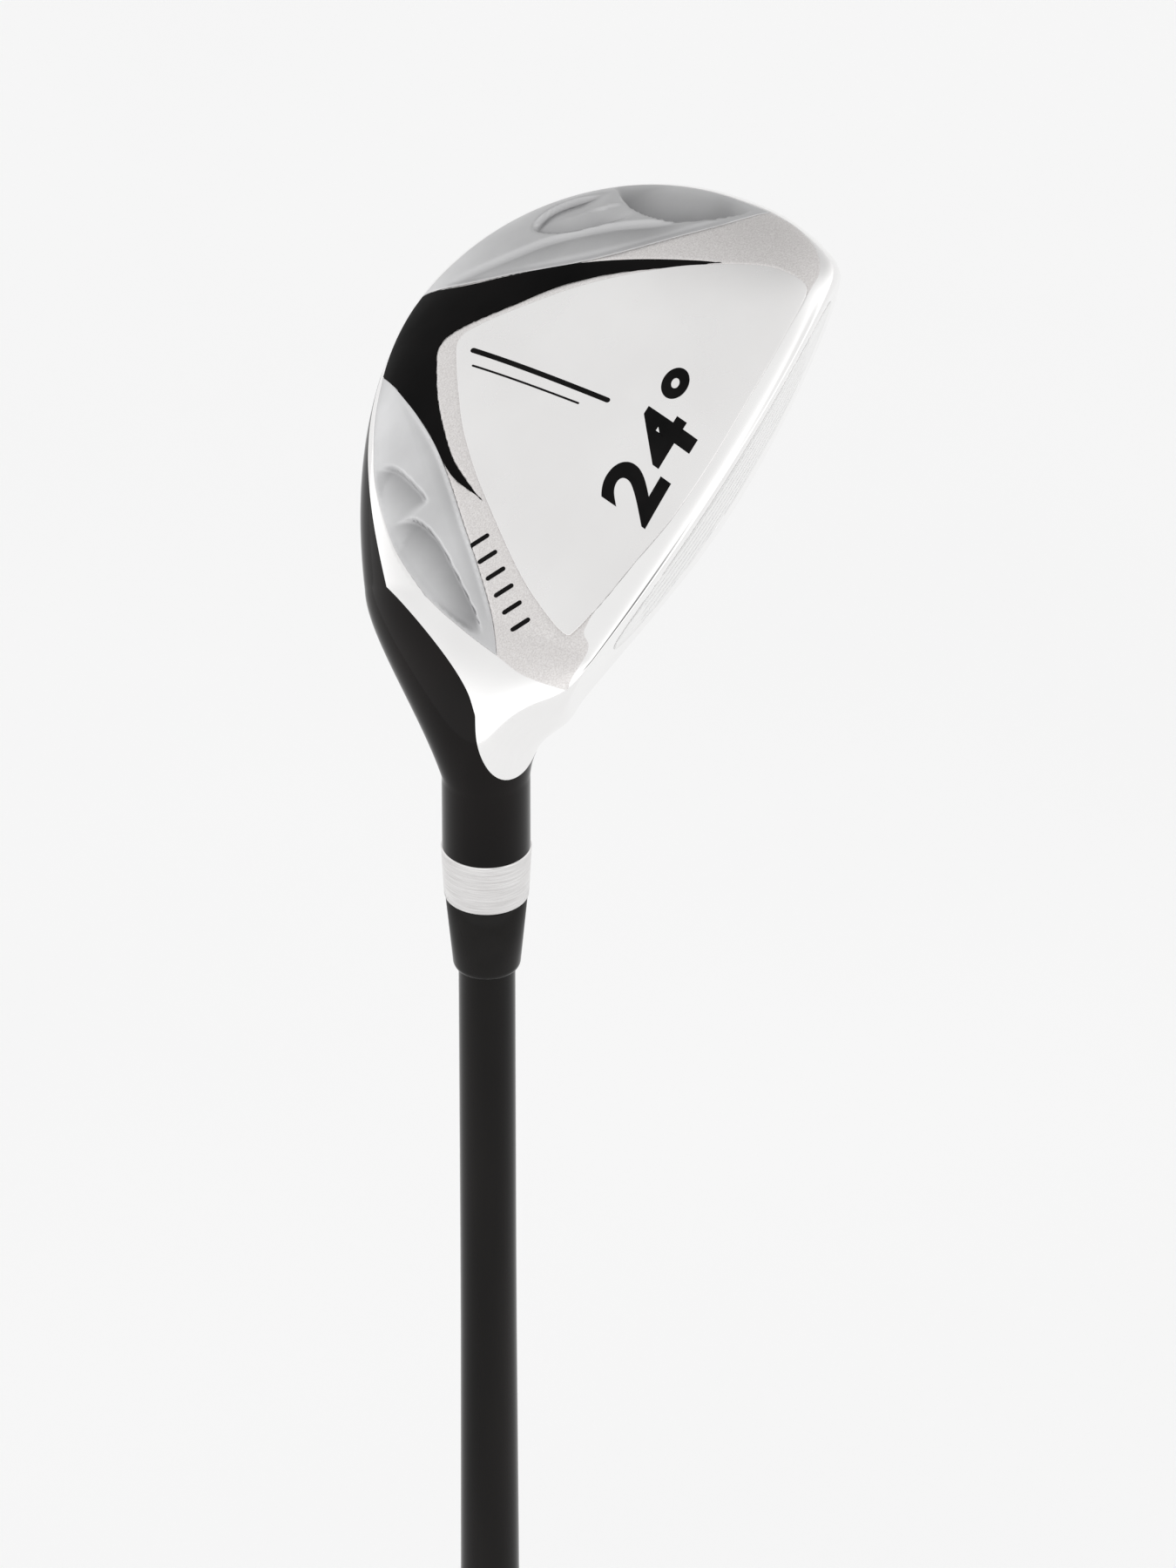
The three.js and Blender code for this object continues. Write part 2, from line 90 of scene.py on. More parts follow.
def crown_z(x):
    rise = ease((x - NECK["x"]) / 50)
    return mix(HEAD["crown_heel"], HEAD["crown_peak"], rise) - 2 * ease((x - 66) / 22)


def face_y(x, z):
    """Front of the lofted face, bulged from heel to toe."""
    return FACE["y"] - z * math.tan(LOFT) - (x - HEAD["mid_x"]) ** 2 / (2 * FACE["bulge"])


def body_section(x):
    """An upright section of the body at x: where it is, and how far it reaches each way."""
    q = clamp01((x - HEAD["mid_x"]) / (HEAD["toe_x"] - HEAD["mid_x"]))
    closing = np.sqrt(np.maximum(0, 1 - q**6))
    ridge = mix(HEAD["ridge_y"], HEAD["pole_y"], q**6)
    front = mix(HEAD["pole_y"], HEAD["front_y"], np.sqrt(np.maximum(0, 1 - q**2.6)))
    rim = HEAD["rim_z"] + 2 * q**2
    zero = 0 * x
    return dict(
        ox=x, oz=rim, dx=zero, dz=zero - 1, centre=zero, ridge=ridge, front=front - ridge,
        rear=ridge - rear_y(x), up=(crown_z(x) - rim) * closing, low=(rim - sole_z(x)) * closing,
        top_power=zero + 2.5, low_power=zero + 3, clear=zero,
    )


def neck_section(turn):
    """A section of the neck, fanning from the body's last section (turn 0) to the hosel's first (1)."""
    start = body_section(np.array(NECK["x"]))
    t = 0.37 * ease(turn) + 0.63 * turn
    r = HOSEL["r"]
    return dict(
        ox=NECK["x"] + 0 * t, oz=NECK["z"] + 0 * t, dx=-np.sin(turn * LIE), dz=-np.cos(turn * LIE),
        centre=mix(NECK["z"] - HEAD["rim_z"], NECK["axis_r"], t), ridge=mix(start["ridge"], 0, t),
        front=mix(start["front"], r, 1 - (1 - t) ** 3.2), rear=mix(start["rear"], r, t),
        up=mix(start["up"], r, t), low=mix(start["low"], r, t),
        top_power=mix(start["top_power"], 2, t), low_power=mix(start["low_power"], 2, t),
        clear=10 * turn**2,
    )


def hosel_section(along):
    """A round section of the hosel, at a distance along the axis from the ground."""
    zero = 0 * along
    r = zero + HOSEL["r"]
    return dict(
        ox=-math.cos(LIE) * along, oz=math.sin(LIE) * along, dx=zero - math.sin(LIE),
        dz=zero - math.cos(LIE), centre=zero, ridge=zero, front=r, rear=r, up=r, low=r,
        top_power=zero + 2, low_power=zero + 2, clear=zero + 100,
    )


def surface(u, a):
    """Points of the head's skin. u runs from the toe (0) over the body (to 1), the neck (to 2) and the
    hosel (to 3); a runs round each section from the front (0) by the sole (a quarter turn) and rear."""
    u = np.asarray(u, float)
    body = body_section(HEAD["toe_x"] - (HEAD["toe_x"] - NECK["x"]) * np.minimum(u, 1) ** 2)
    neck = neck_section(np.clip(u - 1, 0, 1))
    hosel = hosel_section(mix(HOSEL["neck_end"], HOSEL["top"], np.clip(u - 2, 0, 1)))
    s = {k: np.where(u <= 1, body[k], np.where(u <= 2, neck[k], hosel[k])) for k in body}
    c = np.cos(a)
    below = np.sin(a) > 0
    power = np.where(below, s["low_power"], s["top_power"])
    reach = np.sqrt(np.maximum(0, 1 - np.abs(c) ** power))
    w = s["centre"] + np.where(below, s["low"], -s["up"]) * reach
    x = s["ox"] + s["dx"] * w
    z = s["oz"] + s["dz"] * w
    y = s["ridge"] + np.where(c > 0, s["front"], s["rear"]) * c
    y = soft_min(y, face_y(x, z) + s["clear"], FACE["edge"])
    return np.stack(np.broadcast_arrays(x, y, z), -1)


def normals_at(u, a, step=2e-3):
    """Outward unit normals of the head's skin."""
    u = np.clip(np.asarray(u, float), 0.012, 2.99)
    du = surface(u + step, a) - surface(u - step, a)
    da = surface(u, a + step) - surface(u, a - step)
    n = np.cross(da, du)
    return n / np.maximum(np.linalg.norm(n, axis=-1, keepdims=True), 1e-9)


def curve_through(knots, values):
    """A smooth function through the knots that never overshoots them."""
    x, y = np.asarray(knots, float), np.asarray(values, float)
    step = np.diff(y) / np.diff(x)
    middle = np.where(step[1:] * step[:-1] > 0, (step[1:] + step[:-1]) / 2, 0)
    slope = np.concatenate([[step[0]], middle, [0]])

    def at(t):
        t = np.clip(t, x[0], x[-1])
        i = np.clip(np.searchsorted(x, t) - 1, 0, len(x) - 2)
        h = x[i + 1] - x[i]
        f = (t - x[i]) / h
        rise = (2 * f**3 - 3 * f**2 + 1) * y[i] + (3 * f**2 - 2 * f**3) * y[i + 1]
        return rise + h * ((f**3 - 2 * f**2 + f) * slope[i] + (f**3 - f**2) * slope[i + 1])

    return at


# ---- Row frame -----------------------------------------------------------------------------------
def to_row(p):
    """From the head's address frame, in millimetres, to the row frame, in metres."""
    p = np.asarray(p, float)
    sin, cos = math.sin(LIE), math.cos(LIE)
    x = sin * p[..., 0] + cos * p[..., 2]
    z = cos * p[..., 0] - sin * p[..., 2] + CLUB_LENGTH
    return np.stack([x, -p[..., 1], z], -1) * MM


def turn_to_row(n):
    """The same turn for a direction."""
    sin, cos = math.sin(LIE), math.cos(LIE)
    x = sin * n[..., 0] + cos * n[..., 2]
    z = cos * n[..., 0] - sin * n[..., 2]
    return np.stack([x, -n[..., 1], z], -1)


# ---- Meshes --------------------------------------------------------------------------------------
def new_object(name, points, faces, material, stands_for=(), normals=None, attributes=None):
    """A mesh in the row frame that rides on the club."""
    mesh = bpy.data.meshes.new(name)
    mesh.from_pydata([tuple(p) for p in points], [], [tuple(int(i) for i in f) for f in faces])
    mesh.validate()
    for polygon in mesh.polygons:
        polygon.use_smooth = True
    for key, values in (attributes or {}).items():
        layer = mesh.attributes.new(key, "FLOAT", "POINT")
        layer.data.foreach_set("value", np.asarray(values, np.float32).ravel())
    if normals is not None:
        mesh.normals_split_custom_set_from_vertices([tuple(n) for n in normals])
    mesh.materials.append(material)
    obj = bpy.data.objects.new(name, mesh)
    bpy.context.scene.collection.objects.link(obj)
    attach(obj, "root")
    if stands_for:
        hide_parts(*stands_for)
    return obj


def grid_faces(rows, columns, closed=False):
    """Quads of a grid of rows by columns points; closed joins the last column to the first."""
    faces = []
    for i in range(rows - 1):
        for j in range(columns if closed else columns - 1):
            k = (j + 1) % columns
            quad = (i * columns + j, i * columns + k, (i + 1) * columns + k, (i + 1) * columns + j)
            faces.append(quad)
    return faces


def turned(name, profile, material, stands_for=(), segments=128):
    """A turned piece about +Z from its closed profile of (radius, height)."""
    angles = np.linspace(0, 2 * math.pi, segments, endpoint=False)
    ring = np.array([[r * math.cos(t), r * math.sin(t), z] for r, z in profile for t in angles]) * MM
    faces = grid_faces(len(profile), segments, closed=True)
    return new_object(name, ring, faces, material, stands_for)


# ---- Outlines on the sole, seen in plan ------------------------------------------------------------
def smooth_line(points, spacing=0.5, closed=False):
    """A Catmull-Rom curve through the points, sampled evenly."""
    p = np.asarray(points, float)
    if closed:
        p = np.vstack([p[-1], p, p[0], p[1]])
    else:
        p = np.vstack([2 * p[0] - p[1], p, 2 * p[-1] - p[-2]])
    out = []
    for i in range(1, len(p) - 2):
        t = np.linspace(0, 1, 24, endpoint=False)[:, None]
        a, b, c, d = p[i - 1], p[i], p[i + 1], p[i + 2]
        out.append(
            0.5
            * (2 * b + (c - a) * t + (2 * a - 5 * b + 4 * c - d) * t**2 + (3 * b - a - 3 * c + d) * t**3)
        )
    if not closed:
        out.append(p[-2][None])
    line = np.vstack(out)
    if closed:
        line = np.vstack([line, line[:1]])
    length = np.concatenate([[0], np.cumsum(np.linalg.norm(np.diff(line, axis=0), axis=1))])
    count = max(2, int(round(length[-1] / spacing)) + 1)
    even = np.linspace(0, length[-1], count)
    line = np.stack([np.interp(even, length, line[:, k]) for k in (0, 1)], -1)
    return line[:-1] if closed else line


def joined(*lines):
    """Lines end to end as one closed outline, with each corner kept once."""
    return np.vstack([line[:-1] for line in lines])


def inside(points, outline):
    """True for the points inside a closed outline."""
    x, y = points[:, 0], points[:, 1]
    hit = np.zeros(len(points), bool)
    for (x0, y0), (x1, y1) in zip(outline, np.roll(outline, -1, axis=0)):
        if y0 == y1:
            continue
        crosses = (y0 > y) != (y1 > y)
        hit ^= crosses & (x < x0 + (y - y0) * (x1 - x0) / (y1 - y0))
    return hit


def line_distance(points, line, closed=False):
    """Distance to a line, which side of it (+1 left), and how far along it (0 to 1)."""
    start = line
    end = np.roll(line, -1, axis=0)
    if not closed:
        start, end = line[:-1], line[1:]
    best = np.full(len(points), 1e9)
    side = np.ones(len(points))
    along = np.zeros(len(points))
    for i, (a, b) in enumerate(zip(start, end)):
        ab = b - a
        size = max(float(ab @ ab), 1e-12)
        t = clamp01(((points - a) @ ab) / size)
        gap = points - (a + t[:, None] * ab)
        d = np.hypot(gap[:, 0], gap[:, 1])
        nearer = d < best
        cross = ab[0] * (points[:, 1] - a[1]) - ab[1] * (points[:, 0] - a[0])
        side = np.where(nearer, np.sign(cross), side)
        along = np.where(nearer, (i + t) / len(start), along)
        best = np.where(nearer, d, best)
    return best, side, along


def signed_distance(points, outline):
    """Distance to a closed outline, positive inside it."""
    best, _, _ = line_distance(points, outline, closed=True)
    return np.where(inside(points, outline), best, -best)


def shrunk(outline, distance):
    """A closed outline moved inwards."""
    before = outline - np.roll(outline, 1, axis=0)
    after = np.roll(outline, -1, axis=0) - outline
    before /= np.maximum(np.linalg.norm(before, axis=1, keepdims=True), 1e-9)
    after /= np.maximum(np.linalg.norm(after, axis=1, keepdims=True), 1e-9)
    x, y = outline[:, 0], outline[:, 1]
    area = np.sum(x * np.roll(y, -1) - y * np.roll(x, -1))
    turn = 1 if area > 0 else -1
    n1 = np.stack([-before[:, 1], before[:, 0]], -1) * turn
    n2 = np.stack([-after[:, 1], after[:, 0]], -1) * turn
    scale = distance / np.maximum(1 + np.sum(n1 * n2, axis=1), 0.35)
    return outline + (n1 + n2) * scale[:, None]


TOE_TIP = (89.0, -2.9)
TAIL_TOE = (53.9, -48.9)
TAIL_HEEL = (38.3, -47.0)
HEEL_TIP = (-0.8, 0.9)
TOE_RIM = [TAIL_TOE, (59.5, -47.7), (65.6, -45.6), (71.4, -42.6), (76.7, -38.6), (81.6, -33.2),
           (85.6, -26.6), (88.2, -19.0), (89.2, -11.0), TOE_TIP]
TOE_INNER = [TOE_TIP, (84.6, -5.0), (80.2, -8.1), (71.8, -16.3), (65.6, -24.0), (59.9, -34.1),
             (56.5, -40.9), TAIL_TOE]
HEEL_RIM = [TAIL_HEEL, (31.2, -43.9), (25.5, -40.4), (19.9, -36.4), (13.5, -29.9), (9.3, -24.7),
            (4.2, -15.6), (1.2, -7.0), HEEL_TIP]
HEEL_INNER = [HEEL_TIP, (2.6, -1.5), (6.7, -5.0), (12.4, -10.7), (17.5, -16.2), (22.8, -21.8),
              (27.5, -27.3), (31.5, -33.4), (35.7, -40.9), TAIL_HEEL]
INLAY_TAIL = [TAIL_HEEL, (42.2, -48.3), (46.2, -49.1), (50.2, -49.3), TAIL_TOE]
INLAY_TOE = [TAIL_TOE, (56.3, -40.7), (59.8, -34.0), (65.6, -24.0), (69.9, -15.0), (73.5, -5.7),
             (74.8, -1.4)]
INLAY_INNER = [(74.8, -1.4), (70.6, -8.7), (65.7, -17.2), (60.5, -24.0), (55.2, -29.1), (52.1, -32.3),
               (48.9, -35.6), (46.3, -37.5), (43.9, -37.7), (41.3, -36.3), (35.7, -32.4), (30.5, -27.7),
               (26.3, -23.1), (23.2, -17.8), (21.6, -14.6)]
INLAY_HEEL = [(21.6, -14.6), (24.1, -22.6), (29.8, -30.7), (33.4, -37.2), TAIL_HEEL]
PANEL = [(46.6, -34.9), (49.5, -33.3), (55.9, -26.9), (63.2, -19.0), (70.6, -8.7), (74.5, -1.4),
         (77.1, 5.1), (77.6, 9.6), (76.9, 12.9), (74.4, 14.4), (67.8, 15.7), (58.2, 16.9), (42.6, 17.6),
         (30.4, 16.9), (20.5, 14.9), (13.8, 13.4), (7.6, 11.4), (6.3, 9.7), (9.0, 3.7), (12.9, -2.6),
         (18.7, -10.1), (25.4, -18.2), (31.5, -24.4), (36.7, -28.6), (43.7, -33.7)]
SATIN_TOE = [TOE_TIP, (88.0, 2.6), (85.2, 8.4), (80.6, 12.6), (75.6, 14.2)]
SATIN_HEEL = [(7.5, 12.6), (5.6, 14.7), (0.2, 14.2), (-1.5, 13.4), (-2.1, 6.6), HEEL_TIP]

toe_outline = joined(smooth_line(TOE_RIM), smooth_line(TOE_INNER))
heel_outline = joined(smooth_line(HEEL_RIM), smooth_line(HEEL_INNER))
inlay_outline = joined(
    smooth_line(INLAY_TAIL), smooth_line(INLAY_TOE), smooth_line(INLAY_INNER), smooth_line(INLAY_HEEL)
)
panel_outline = smooth_line(PANEL, closed=True)
satin_outline = joined(
    smooth_line(HEEL_RIM)[::-1], smooth_line(INLAY_TAIL), smooth_line(TOE_RIM), smooth_line(SATIN_TOE),
    smooth_line([(75.6, 14.2), (58, 14), (42, 14.5), (24, 13), (7.5, 12.6)]), smooth_line(SATIN_HEEL),
)

# ---- From plan to the sole's surface ---------------------------------------------------------------
seed_u, seed_a = np.meshgrid(np.linspace(0.02, 2.0, 260), np.linspace(0.2, math.pi, 150), indexing="ij")
facing_down = normals_at(seed_u, seed_a)[..., 2] < -0.55
seed_u, seed_a = seed_u[facing_down], seed_a[facing_down]
seed_points = surface(seed_u, seed_a).reshape(-1, 3)
seeds = KDTree(len(seed_points))
for number, place in enumerate(seed_points):
    seeds.insert((place[0], place[1], 0), number)
seeds.balance()


def on_sole(plan):
    """The place (u, a) on the sole's skin above each plan point."""
    found = np.array([seeds.find((x, y, 0))[1] for x, y in plan])
    u, a = seed_u.ravel()[found], seed_a.ravel()[found]
    for _ in range(8):
        miss = surface(u, a)[:, :2] - plan
        step = 1e-4
        pu = (surface(u + step, a) - surface(u - step, a))[:, :2] / (2 * step)
        pa = (surface(u, a + step) - surface(u, a - step))[:, :2] / (2 * step)
        det = pu[:, 0] * pa[:, 1] - pu[:, 1] * pa[:, 0]
        det = np.where(np.abs(det) < 1e-3, 1e-3, det)
        du = (miss[:, 0] * pa[:, 1] - miss[:, 1] * pa[:, 0]) / det
        da = (pu[:, 0] * miss[:, 1] - pu[:, 1] * miss[:, 0]) / det
        u = np.clip(u - np.clip(du, -0.05, 0.05), 0.004, 2.4)
        a = np.clip(a - np.clip(da, -0.08, 0.08), 0.0, math.pi)
    return u, a


def plan_mesh(outline, spacing):
    """Triangles inside a closed plan outline, fine enough to carry relief."""
    low, high = outline.min(0), outline.max(0)
    xs, ys = np.arange(low[0], high[0], spacing), np.arange(low[1], high[1], spacing * 0.87)
    gx, gy = np.meshgrid(xs, ys)
    gx = gx + (np.arange(len(ys)) % 2)[:, None] * spacing / 2
    fill = np.stack([gx.ravel(), gy.ravel()], -1)
    fill = fill[inside(fill, outline)]
    fill = fill[line_distance(fill, outline, closed=True)[0] > spacing * 0.55]
    count = len(outline)
    points = [Vector(p) for p in np.vstack([outline, fill])]
    edges = [(i, (i + 1) % count) for i in range(count)]
    verts, _, faces, _, _, _ = delaunay_2d_cdt(points, edges, [], 1, 1e-5)
    return np.array([tuple(v) for v in verts]), [tuple(f) for f in faces]


def facing_out(faces, points, normals):
    """The triangles, each turned to face along the normals."""
    turned_faces = []
    for f in faces:
        p, q, r = (points[i] for i in f[:3])
        turned_faces.append(f if np.cross(q - p, r - p) @ normals[f[0]] > 0 else f[::-1])
    return turned_faces


# A set-in piece's gap to its outline, its height over the sole, its rounded edge and its wall's depth.
PIECE_GAP = 0.05
PIECE_PROUD = 0.09
PIECE_BEVEL = 0.1
PIECE_WALL = 0.9


def sole_piece(name, outline, material, stands_for, spacing=0.45, relief=None):
    """A piece set into the sole: its top follows the sole, with a rounded edge and a wall going in."""
    proud, bevel = PIECE_PROUD, PIECE_BEVEL
    top = shrunk(outline, PIECE_GAP + bevel)
    plan, faces = plan_mesh(top, spacing)
    u, a = on_sole(plan)
    skin, n = surface(u, a), normals_at(u, a)
    height = np.full(len(plan), proud)
    if relief is not None:
        height = height + relief(plan)
    points = skin + n * height[:, None]
    depth = [proud - height]
    fixed = facing_out(faces, points, n)
    # The rounded edge and the wall, ring by ring.
    edge_relief = relief(top) if relief is not None else np.zeros(len(top))
    rings = [
        (PIECE_GAP + 0.35 * bevel, -0.2 * bevel),
        (PIECE_GAP, -0.8 * bevel),
        (PIECE_GAP, -PIECE_WALL),
    ]
    count = len(top)
    order = nearest_order(plan, top)
    all_points, all_faces = [points], list(fixed)
    previous = order
    offset = len(points)
    for inset, drop in rings:
        ring_plan = shrunk(outline, inset)
        ru, ra = on_sole(ring_plan)
        ring = surface(ru, ra) + normals_at(ru, ra) * (proud + drop + edge_relief)[:, None]
        all_points.append(ring)
        depth.append(-edge_relief)
        current = np.arange(offset, offset + count)
        for i in range(count):
            j = (i + 1) % count
            quad = (previous[i], previous[j], current[j], current[i])
            all_faces.append(quad)
        offset += count
        previous = current
    points = np.vstack(all_points)
    # The walls turn the same way as the top.
    f = all_faces[len(fixed)]
    wall = np.cross(points[f[1]] - points[f[0]], points[f[2]] - points[f[0]])
    middle = np.append(outline.mean(0), 8.0)
    if wall @ (points[f[0]] - middle) < 0:
        all_faces = all_faces[: len(fixed)] + [face[::-1] for face in all_faces[len(fixed):]]
    row = to_row(points)
    # The attribute "depth" sets the painted shade in the hollows of the inserts' relief.
    attributes = {"depth": np.concatenate(depth)}
    smooth = None
    if relief is None:
        smooth = np.zeros_like(row)
        smooth[: len(n)] = turn_to_row(n)
    return new_object(name, row, all_faces, material, stands_for, smooth, attributes)


def nearest_order(plan, ring):
    """For each point of the ring, its number in plan."""
    tree = KDTree(len(plan))
    for i, (x, y) in enumerate(plan):
        tree.insert((x, y, 0), i)
    tree.balance()
    return np.array([tree.find((x, y, 0))[1] for x, y in ring])


# ---- Finishes --------------------------------------------------------------------------------------
def node_tree(name):
    material = bpy.data.materials.new(name)
    material.use_nodes = True
    tree = material.node_tree
    return material, tree, tree.nodes["Principled BSDF"]


def add(tree, kind, **values):
    """A node with its settings, and its input sockets by name."""
    node = tree.nodes.new(kind)
    for key, value in values.items():
        if hasattr(node, key):
            setattr(node, key, value)
        else:
            node.inputs[key.replace("_", " ")].default_value = value
    return node


def noise(tree, scale, stretch=(1, 1, 1), detail=4.0):
    """Noise in the row frame's metres, stretched by the given factors."""
    where = add(tree, "ShaderNodeTexCoord")
    mapping = add(tree, "ShaderNodeMapping")
    mapping.inputs["Scale"].default_value = stretch
    texture = add(tree, "ShaderNodeTexNoise", Scale=scale, Detail=detail)
    tree.links.new(where.outputs["Object"], mapping.inputs["Vector"])
    tree.links.new(mapping.outputs["Vector"], texture.inputs["Vector"])
    return texture.outputs["Fac"]


def remap(tree, source, low, high, from_low=0.3, from_high=0.7):
    node = add(tree, "ShaderNodeMapRange", clamp=True)
    node.inputs["From Min"].default_value = from_low
    node.inputs["From Max"].default_value = from_high
    node.inputs["To Min"].default_value = low
    node.inputs["To Max"].default_value = high
    tree.links.new(source, node.inputs["Value"])
    return node.outputs["Result"]


def blend_colour(tree, factor, first, second):
    node = add(tree, "ShaderNodeMix", data_type="RGBA")
    tree.links.new(factor, node.inputs["Factor"])
    for socket, value in ((node.inputs[6], first), (node.inputs[7], second)):
        if isinstance(value, tuple):
            socket.default_value = (*value, 1)
        else:
            tree.links.new(value, socket)
    return node.outputs[2]


def blend_value(tree, factor, first, second):
    node = add(tree, "ShaderNodeMix", data_type="FLOAT")
    tree.links.new(factor, node.inputs[0])
    for socket, value in ((node.inputs[2], first), (node.inputs[3], second)):
        if isinstance(value, (int, float)):
            socket.default_value = value
        else:
            tree.links.new(value, socket)
    return node.outputs[0]


def bump(tree, shader, height, strength, distance):
    node = add(tree, "ShaderNodeBump", Strength=strength, Distance=distance)
    tree.links.new(height, node.inputs["Height"])
    tree.links.new(node.outputs["Normal"], shader.inputs["Normal"])


def surface_finish(
    name, dark, light, rough, metallic, wear_scale=60, grain=None, specular=0.5, stretch=(1, 1, 1)
):
    """A finish whose tone and roughness drift across the piece, with an optional grain, which is
    its scale, strength and depth."""
    material, tree, shader = node_tree(name)
    drift = remap(tree, noise(tree, wear_scale, stretch), 0, 1)
    polish = remap(tree, noise(tree, wear_scale * 2.7, stretch), *rough)
    tree.links.new(blend_colour(tree, drift, dark, light), shader.inputs["Base Color"])
    tree.links.new(polish, shader.inputs["Roughness"])
    shader.inputs["Metallic"].default_value = metallic
    shader.inputs["Specular IOR Level"].default_value = specular
    if grain:
        scale, strength, depth = grain
        bump(tree, shader, noise(tree, scale, stretch, detail=2.0), strength, depth)
    return material


def casting_finish():
    """Bare steel: polished at the rim, bead-blasted where the attribute "satin" is positive."""
    material, tree, shader = node_tree("bare_steel")
    satin = add(tree, "ShaderNodeAttribute", attribute_name="satin").outputs["Fac"]
    edge = remap(tree, satin, 0, 1, -0.08, 0.08)
    fine = noise(tree, 4200, detail=2.0)
    grain = remap(tree, fine, 0, 1)
    cloudy = remap(tree, noise(tree, 45), 0, 1)
    bright = blend_colour(tree, cloudy, (0.88, 0.872, 0.868), (0.93, 0.925, 0.92))
    blasted = blend_colour(tree, grain, (0.64, 0.615, 0.605), (0.82, 0.80, 0.79))
    tree.links.new(blend_colour(tree, edge, bright, blasted), shader.inputs["Base Color"])
    polish = remap(tree, noise(tree, 130), 0.05, 0.12)
    tree.links.new(blend_value(tree, edge, polish, 0.42), shader.inputs["Roughness"])
    shader.inputs["Metallic"].default_value = 1.0
    height = blend_value(tree, edge, 0.5, fine)
    bump(tree, shader, height, 0.35, 0.00008)
    return material


def insert_plating_and_painted_shade():
    """Satin grey plating with painted shade: the colour darkens in the deeper relief by the attribute
    "depth" in millimetres.
    """
    material, tree, shader = node_tree("satin_grey_insert_painted_shade")
    depth = add(tree, "ShaderNodeAttribute", attribute_name="depth").outputs["Fac"]
    cloudy = remap(tree, noise(tree, 90), 0, 1)
    raised = blend_colour(tree, cloudy, (0.56, 0.56, 0.565), (0.64, 0.64, 0.645))
    # Painted shade: a near-black colour for the hollows, standing in for the shade that falls in the deep
    # relief.
    painted_shade_colour = blend_colour(tree, cloudy, (0.17, 0.17, 0.175), (0.2, 0.2, 0.205))
    # How much painted shade, from the relief's depth.
    shade_by_depth = remap(tree, depth, 0, 1, 0.1, 1.7)
    tree.links.new(blend_colour(tree, shade_by_depth, raised, painted_shade_colour), shader.inputs["Base Color"])
    tree.links.new(remap(tree, noise(tree, 240), 0.3, 0.36), shader.inputs["Roughness"])
    shader.inputs["Metallic"].default_value = 0.9
    bump(tree, shader, noise(tree, 5200, detail=2.0), 0.2, 0.00004)
    return material


FINISH = dict(
    paint=surface_finish(
        "gloss_black_paint", (0.004, 0.0032, 0.003), (0.009, 0.007, 0.0065), (0.05, 0.11), 0.0,
        wear_scale=35, grain=(900, 0.04, 0.00003), specular=0.14,
    ),
    casting=casting_finish(),
    panel=surface_finish(
        "polished_panel", (0.83, 0.82, 0.815), (0.885, 0.878, 0.872), (0.2, 0.3), 1.0, wear_scale=42
    ),
    insert=insert_plating_and_painted_shade(),
    inlay=surface_finish(
        "black_inlay", (0.003, 0.003, 0.003), (0.007, 0.0065, 0.0065), (0.4, 0.5), 0.0,
        wear_scale=60, grain=(3000, 0.08, 0.00003), specular=0.02,
    ),
    face=surface_finish(
        "brushed_face", (0.84, 0.835, 0.83), (0.91, 0.905, 0.9), (0.16, 0.26), 1.0,
        wear_scale=60, grain=(700, 0.12, 0.00003), stretch=(1, 1, 14),
    ),
    ring=surface_finish(
        "brushed_ring", (0.62, 0.605, 0.6), (0.86, 0.85, 0.845), (0.2, 0.3), 1.0,
        wear_scale=160, grain=(420, 0.25, 0.00003), stretch=(1, 1, 30),
    ),
    collar=surface_finish(
        "gloss_black_collar", (0.004, 0.0035, 0.003), (0.009, 0.008, 0.0075), (0.1, 0.17), 0.0,
        wear_scale=120, grain=(1200, 0.05, 0.00003), specular=0.16,
    ),
    graphite=surface_finish(
        "coated_graphite", (0.004, 0.0035, 0.0032), (0.011, 0.0095, 0.009), (0.12, 0.2), 0.0,
        wear_scale=70, grain=(520, 0.05, 0.00003), specular=0.14, stretch=(1, 1, 0.2),
    ),
    rubber=surface_finish(
        "grip_rubber", (0.012, 0.012, 0.012), (0.024, 0.024, 0.024), (0.62, 0.82), 0.0,
        wear_scale=130, grain=(2400, 0.35, 0.00008), specular=0.3,
    ),
    fill=surface_finish(
        "paint_fill", (0.004, 0.004, 0.004), (0.009, 0.0085, 0.0085), (0.35, 0.5), 0.0,
        wear_scale=150, grain=(3000, 0.1, 0.00003), specular=0.03,
    ),
    brass=surface_finish("turned_brass", (0.55, 0.4, 0.17), (0.7, 0.54, 0.27), (0.25, 0.4), 1.0),
    epoxy=surface_finish("set_epoxy", (0.6, 0.52, 0.32), (0.72, 0.64, 0.42), (0.4, 0.6), 0.0),
    tape=surface_finish(
        "paper_tape", (0.7, 0.66, 0.56), (0.82, 0.78, 0.68), (0.7, 0.9), 0.0, wear_scale=300
    ),
)

# ---- Head body: painted skin and bare casting --------------------------------------------------------
# The paint's lower edge, as the place round each section, by distance back from the tip of the bare
# steel on the hosel. Distance is the square root of the step in u, which keeps the tip smooth.
TIP_U, TIP_A = 1.887, 0.4
rear_edge = curve_through(
    [0, 0.164, 0.343, 0.482, 0.6, 0.7, 0.804, 0.911, 0.979, 1.02, 1.07, 1.13, 1.2, 1.374],
    [TIP_A, 0.73, 1.08, 1.36, 1.56, 1.72, 1.99, 2.37, 2.70, 2.88, 3.03, 3.14, 3.21, 3.27],
)
front_edge = curve_through(
    [0, 0.1, 0.25, 0.5, 0.8, 1.0, 1.374], [TIP_A, 0.15, -0.2, -0.75, -1.15, -1.28, -1.3]
)


def edge_angles(u):
    """Where the bare steel starts and ends round the section at u."""
    back = np.sqrt(np.maximum(0, TIP_U - u))
    return front_edge(back), rear_edge(back)


